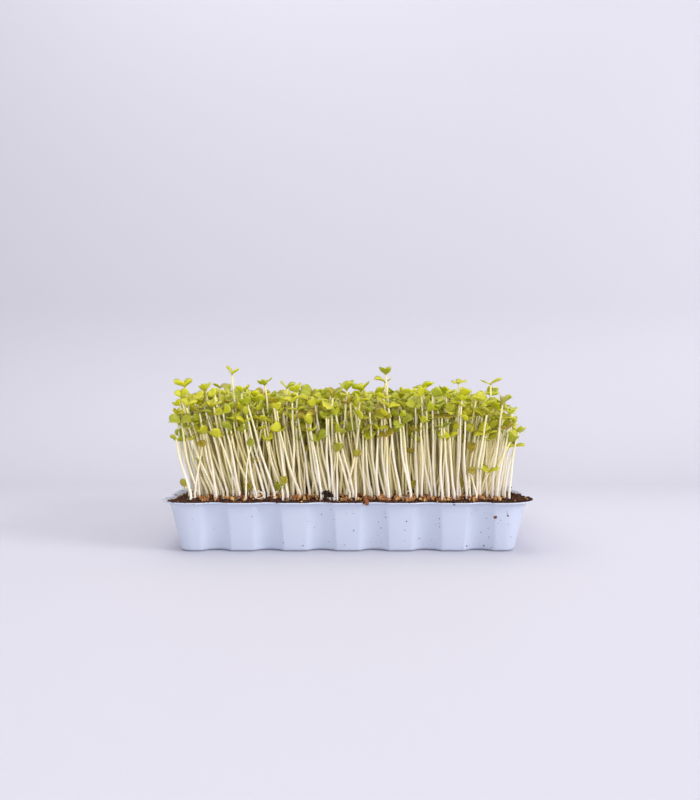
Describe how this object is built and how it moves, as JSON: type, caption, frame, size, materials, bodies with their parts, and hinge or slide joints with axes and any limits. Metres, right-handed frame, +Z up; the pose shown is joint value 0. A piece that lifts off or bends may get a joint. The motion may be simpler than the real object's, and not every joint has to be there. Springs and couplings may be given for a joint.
{
  "type": "microgreens tray",
  "caption": "Shallow fluted plastic tray with a flared rim, brim full of potting soil and a dense stand of slender pale mustard seedlings with heart-shaped green seed leaves.",
  "frame": {"origin": "middle of the tray's underside, on the surface that it stands on", "axes": "+X along the long side to the right seen from the front, -Y towards the front, +Z up along the stems"},
  "size_m": [0.23, 0.158, 0.1143],
  "materials": {
    "tray": "satin",
    "soil": "matte",
    "seedling": "satin"
  },
  "bodies": {
    "root": {"tray": "tray", "soil": "soil", "seedlings_01": "seedling", "seedlings_02": "seedling", "seedlings_03": "seedling", "seedlings_04": "seedling", "seedlings_05": "seedling", "seedlings_06": "seedling", "seedlings_07": "seedling", "seedlings_08": "seedling", "seedlings_09": "seedling", "seedlings_10": "seedling", "seedlings_11": "seedling", "seedlings_12": "seedling", "seedlings_13": "seedling", "seedlings_14": "seedling", "seedlings_15": "seedling", "seedlings_16": "seedling", "seedlings_17": "seedling", "seedlings_18": "seedling", "seedlings_19": "seedling", "seedlings_20": "seedling", "seedlings_21": "seedling", "seedlings_22": "seedling", "seedlings_23": "seedling", "seedlings_24": "seedling", "seedlings_25": "seedling", "seedlings_26": "seedling", "seedlings_27": "seedling", "seedlings_28": "seedling", "seedlings_29": "seedling", "seedlings_30": "seedling", "seedlings_31": "seedling", "seedlings_32": "seedling", "seedlings_33": "seedling", "seedlings_34": "seedling", "seedlings_35": "seedling", "seedlings_36": "seedling", "seedlings_37": "seedling", "seedlings_38": "seedling", "seedlings_39": "seedling", "seedlings_40": "seedling", "seedlings_41": "seedling", "seedlings_42": "seedling"}
  },
  "joints": []
}
